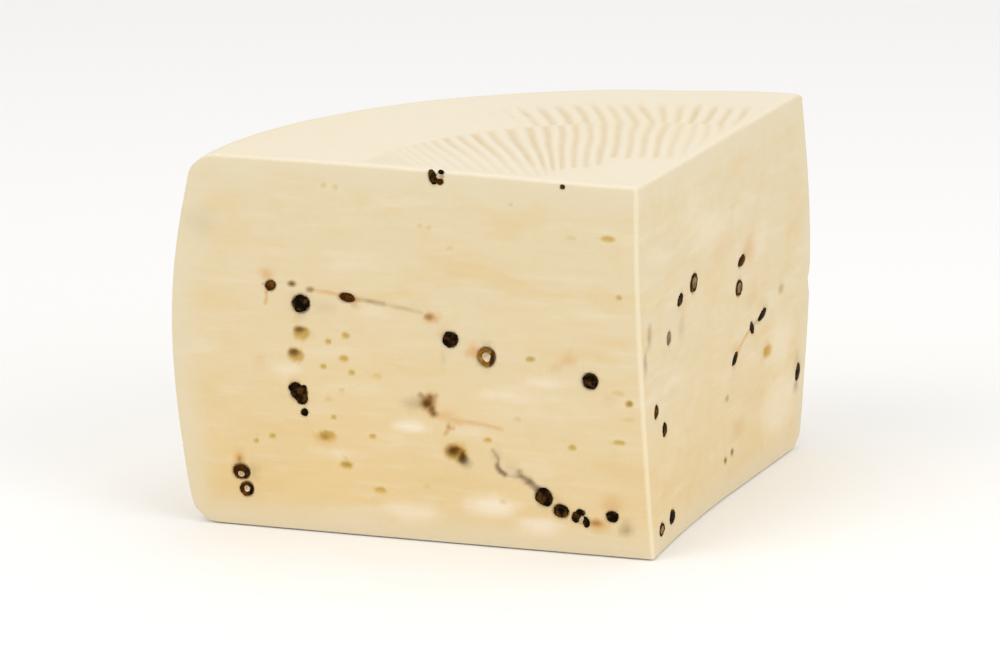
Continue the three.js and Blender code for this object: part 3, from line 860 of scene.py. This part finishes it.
def pasteFinish():
    finish = Finish("pecorinoPaste")
    split = finish.add("ShaderNodeSeparateXYZ")
    finish.join(finish.where, split.inputs[0])
    noises = {name: finish.clouds(*values) for name, values in paste["noises"].items()}
    # warmer and yellower towards the base and the rind
    lean = finish.math("MULTIPLY", split.outputs["X"], paste["warmLean"])
    height = finish.math("ADD", split.outputs["Z"], lean)
    height = finish.math("ADD", height, finish.math("MULTIPLY", noises["broad"], paste["warmNoise"]))
    colour = finish.blend(finish.ramp(height, *paste["warmBand"]), paste["lower"], paste["upper"])
    for name, low, high, most, tint in paste["layers"]:
        colour = finish.blend(finish.ramp(noises[name], low, high, 0, most), colour, paste[tint])
    blur = finish.math("MULTIPLY", noises["middle"], paste["rindNoise"])
    band = finish.math("ADD", finish.attribute("underRind"), blur)
    colour = finish.blend(finish.ramp(band, *paste["underRindRamp"]), colour, paste["underRind"])
    for name, most in paste["shares"].items():
        colour = finish.blend(finish.math("MULTIPLY", finish.attribute(name), most), colour, paste[name])
    # painted highlight: the rounded cut edges take a paler colour
    wornAndHighlit = finish.math("MULTIPLY", finish.attribute("wornAndHighlit"), paste["edgeHighlightShare"])
    colour = finish.blend(wornAndHighlit, colour, paste["edge"])
    # painted shade: darker colour in the rind's furrows and hollows
    shade = finish.ramp(noises["middle"], *paste["furrowShadeShare"])
    furrowShade = finish.math("MULTIPLY", finish.attribute("furrowShade"), shade)
    topRind = finish.blend(furrowShade, paste["topRind"], paste["topFurrowShade"])
    rim = finish.blend(furrowShade, paste["sideRind"], paste["sideFurrowShade"])
    rind = finish.blend(finish.attribute("sideRind"), topRind, rim)
    rind = finish.blend(finish.ramp(noises["broad"], *paste["rindMottle"]), rind, paste["sideRind"])
    whole = finish.blend(finish.attribute("rind"), colour, rind)
    finish.join(whole, finish.shader.inputs["Base Color"])
    roughness = finish.ramp(noises["middle"], *paste["roughness"])
    finish.join(roughness, finish.shader.inputs["Roughness"])
    pores = finish.add("ShaderNodeTexVoronoi")
    finish.join(finish.where, pores.inputs["Vector"])
    pores.inputs["Scale"].default_value = paste["pores"]
    noises["pores"] = finish.ramp(pores.outputs["Distance"], *paste["poreEdge"])
    relief = 0.0
    for name, share in paste["reliefShares"].items():
        relief = finish.math("ADD", relief, finish.math("MULTIPLY", noises[name], share))
    finish.join(finish.bump(relief, *paste["relief"]), finish.shader.inputs["Normal"])
    finish.shader.inputs["Subsurface Weight"].default_value = paste["subsurface"]
    finish.shader.inputs["Subsurface Radius"].default_value = paste["subsurfaceRadius"]
    finish.shader.inputs["Subsurface Scale"].default_value = paste["subsurfaceScale"]
    finish.shader.inputs["Specular IOR Level"].default_value = paste["specular"]
    return finish.material


cheese.data.materials.append(pasteFinish())
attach(cheese, "root")
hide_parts("pecorino_quarter")

pepper = {
    "detail": 4,
    "wrinkles": 0.09,  # shares of the radius, as are the next three
    "lumps": 0.24,
    "sunk": 0.04,
    "wrinkleSize": 0.6,
    "creaseWidth": 0.4,  # share of a wrinkle
    "lumpScale": 1.1,
    # how the knife left a cut one: share of the kernel, and how far it lies right and up of the middle
    "cuts": {
        "ring": (0.5, 0.06, 0.04),
        "tanRing": (0.66, -0.06, 0.06),
        "crescent": (0.4, 0.08, -0.26),
        "thickRing": (0.46, 0.06, 0.06),
    },
    "lip": (0.9, 0.05),  # each step inwards: its share of the last one, and how far it drops
    "hollow": (0.55, 0.2),
    "brownLip": 0.45,  # the cut face is brown up to this far right of the middle
    "sharpest": 50,  # degrees; a sharper edge stays sharp
}


def newCorn(index, face, run, z, wide, high, lean, stand, kind):
    # shaped lying on its back, with Z the way its face of the cheese looks
    spot, way = onFace(face, run, z)
    bpy.ops.object.select_all(action="DESELECT")
    bpy.ops.mesh.primitive_ico_sphere_add(subdivisions=pepper["detail"], radius=1)
    corn = bpy.context.object
    # each one takes its wrinkles from another part of the noise
    elsewhere = Vector((7.3 * index, 2.1, -4.7))
    shape = []
    for vertex in vertexPlaces(corn):
        place = Vector(vertex) + elsewhere
        near, second = noise.voronoi(place / pepper["wrinkleSize"])[0][:2]
        crease = 1 - min(1, (second - near) / pepper["creaseWidth"])
        lump = noise.noise(place * pepper["lumpScale"])
        shape.append(Vector(vertex) * (1 - pepper["wrinkles"] * crease + pepper["lumps"] * lump))
    shape = np.array(shape)
    if kind not in pepper["cuts"]:
        shape[:, 2] = np.where(shape[:, 2] > 0, shape[:, 2] * stand, shape[:, 2])
    corn.data.vertices.foreach_set("co", shape.ravel())
    if kind in pepper["cuts"]:
        corn.data.materials.append(cornMaterials["brown" if kind == "ring" else "whole"])
        corn.data.materials.append(cornMaterials["tan" if kind == "tanRing" else "pale"])
        corn.data.materials.append(cornMaterials["amber" if kind == "ring" else "brown"])
        startEdit(corn, "face", np.ones(len(corn.data.polygons), bool))
        bpy.ops.mesh.bisect(plane_co=(0, 0, 0), plane_no=(0, 0, 1), use_fill=True, clear_outer=True)
        endEdit()
        corners = np.array([len(face.vertices) for face in corn.data.polygons])
        share, aside, above = pepper["cuts"][kind]
        middle = Vector((aside, above, 0))
        # the cut face is the only one with many corners
        startEdit(corn, "face", corners > 6)
        bpy.ops.mesh.extrude_region_move()
        bpy.ops.transform.resize(value=(share, share, share), center_override=middle / (1 - share))
        for part, drop in (pepper["lip"], pepper["hollow"]):
            bpy.ops.mesh.extrude_region_move()
            bpy.ops.transform.resize(value=(part, part, part), center_override=middle)
            bpy.ops.transform.translate(value=(0, 0, -drop))
        endEdit()
        centres = faceCentres(corn)
        onCap = centres[:, 2] > -pepper["lip"][1] - pepper["hollow"][1] - 0.01
        inKernel = onCap & (np.hypot(centres[:, 0] - aside, centres[:, 1] - above) < share)
        onLip = onCap & ~inKernel & (centres[:, 0] < pepper["brownLip"])
        corn.data.polygons.foreach_set("material_index", (inKernel + 2 * onLip).astype(np.int32))
    else:
        corn.data.materials.append(cornMaterials[kind])
    radius = (wide + high) / 4
    raised = stand if kind in pepper["cuts"] else -pepper["sunk"]
    right = np.cross((0, 0, 1), way)
    frameHere = Matrix((Vector(right), Vector((0, 0, 1)), Vector(way))).transposed().to_4x4()
    leaning = Matrix.Rotation(math.radians(-lean), 4, "Z")
    size = Matrix.Diagonal((wide / 2, high / 2, radius, 1))
    place = Matrix.Translation(spot + way * raised * radius + point)
    corn.data.transform(Matrix.Scale(mm, 4) @ place @ frameHere @ leaning @ size)
    return corn


husk = {
    "tint": (430, 4, 0.6),  # noises as for the paste
    "blend": (0.44, 0.68),
    "roughness": (0.3, 0.7, 0.5, 0.7),
    "grain": (1500, 4, 0.65),
    "relief": (0.00025, 0.7),
    "specular": 0.03,
}
kernel = {"tint": (700, 3, 0.6), "blend": (0.35, 0.7), "roughness": 0.65, "relief": (0.0003, 0.6)}


def huskFinish(name, dark, light):
    finish = Finish(name)
    tint = finish.clouds(*husk["tint"])
    colour = finish.blend(finish.ramp(tint, *husk["blend"]), dark, light)
    finish.join(colour, finish.shader.inputs["Base Color"])
    finish.join(finish.ramp(tint, *husk["roughness"]), finish.shader.inputs["Roughness"])
    grain = finish.clouds(*husk["grain"])
    finish.join(finish.bump(grain, *husk["relief"]), finish.shader.inputs["Normal"])
    finish.shader.inputs["Specular IOR Level"].default_value = husk["specular"]
    return finish.material


def kernelFinish(name, light, dark):
    finish = Finish(name)
    tint = finish.clouds(*kernel["tint"])
    colour = finish.blend(finish.ramp(tint, *kernel["blend"]), light, dark)
    finish.join(colour, finish.shader.inputs["Base Color"])
    finish.join(finish.bump(tint, *kernel["relief"]), finish.shader.inputs["Normal"])
    finish.shader.inputs["Roughness"].default_value = kernel["roughness"]
    return finish.material


cornMaterials = {
    "whole": huskFinish("pepperHusk", fromScreen(15, 7, 1), fromScreen(86, 56, 20)),
    "brown": huskFinish("pepperBrownHusk", fromScreen(62, 30, 2), fromScreen(114, 70, 14)),
    "amber": huskFinish("pepperAmberHusk", fromScreen(128, 90, 28), fromScreen(196, 152, 80)),
    "pale": kernelFinish("pepperKernel", fromScreen(226, 208, 176), fromScreen(176, 152, 112)),
    "tan": kernelFinish("pepperTanKernel", fromScreen(154, 126, 82), fromScreen(104, 79, 44)),
}

grown = [newCorn(index, *corn) for index, corn in enumerate(corns)]
bpy.ops.object.select_all(action="DESELECT")
for corn in grown:
    corn.select_set(True)
bpy.context.view_layer.objects.active = grown[0]
bpy.ops.object.join()
peppercorns = bpy.context.object
peppercorns.name = "peppercorns"
bpy.ops.object.shade_smooth_by_angle(angle=math.radians(pepper["sharpest"]))
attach(peppercorns, "root")
peppercorns.data.calc_loop_triangles()
print("peppercorns made, triangles", len(peppercorns.data.loop_triangles))

# metres and watts from here on
stage = {
    "floor": fromScreen(252, 251, 249),
    "floorSize": 8,
    "floorDrop": 0.0003,  # under the cheese
    "floorRoughness": 0.8,
    "world": 0.62,
    "litPlace": (0, 0, 0.05),  # where the lamps point
}
bpy.ops.object.select_all(action="DESELECT")
bpy.ops.mesh.primitive_plane_add(size=stage["floorSize"], location=(0, 0, -stage["floorDrop"]))
floor = bpy.context.object
floor.name = "paleFloor"
bpy.ops.object.transform_apply(location=True, rotation=True, scale=True)
floorFinish = Finish("paleFloor")
floorFinish.shader.inputs["Base Color"].default_value = stage["floor"]
floorFinish.shader.inputs["Roughness"].default_value = stage["floorRoughness"]
floor.data.materials.append(floorFinish.material)

lights = [
    {"name": "key", "stands": (-0.9, -1.3, 1.5), "size": 1.4, "power": 12},
    {"name": "fill", "stands": (1.6, -0.7, 0.9), "size": 1.5, "power": 10},
    {"name": "top", "stands": (0.1, 0.3, 1.9), "size": 1.6, "power": 9},
]
for light in lights:
    bpy.ops.object.light_add(type="AREA", location=light["stands"])
    lamp = bpy.context.object
    lamp.name = light["name"]
    lamp.data.size = light["size"]
    lamp.data.energy = light["power"]
    aim = Vector(stage["litPlace"]) - Vector(light["stands"])
    lamp.rotation_euler = aim.to_track_quat("-Z", "Y").to_euler()
world = bpy.data.worlds.new("studio")
bpy.context.scene.world = world
world.use_nodes = True
world.node_tree.nodes["Background"].inputs["Color"].default_value = (1, 1, 1, 1)
world.node_tree.nodes["Background"].inputs["Strength"].default_value = stage["world"]
print("stage lit")
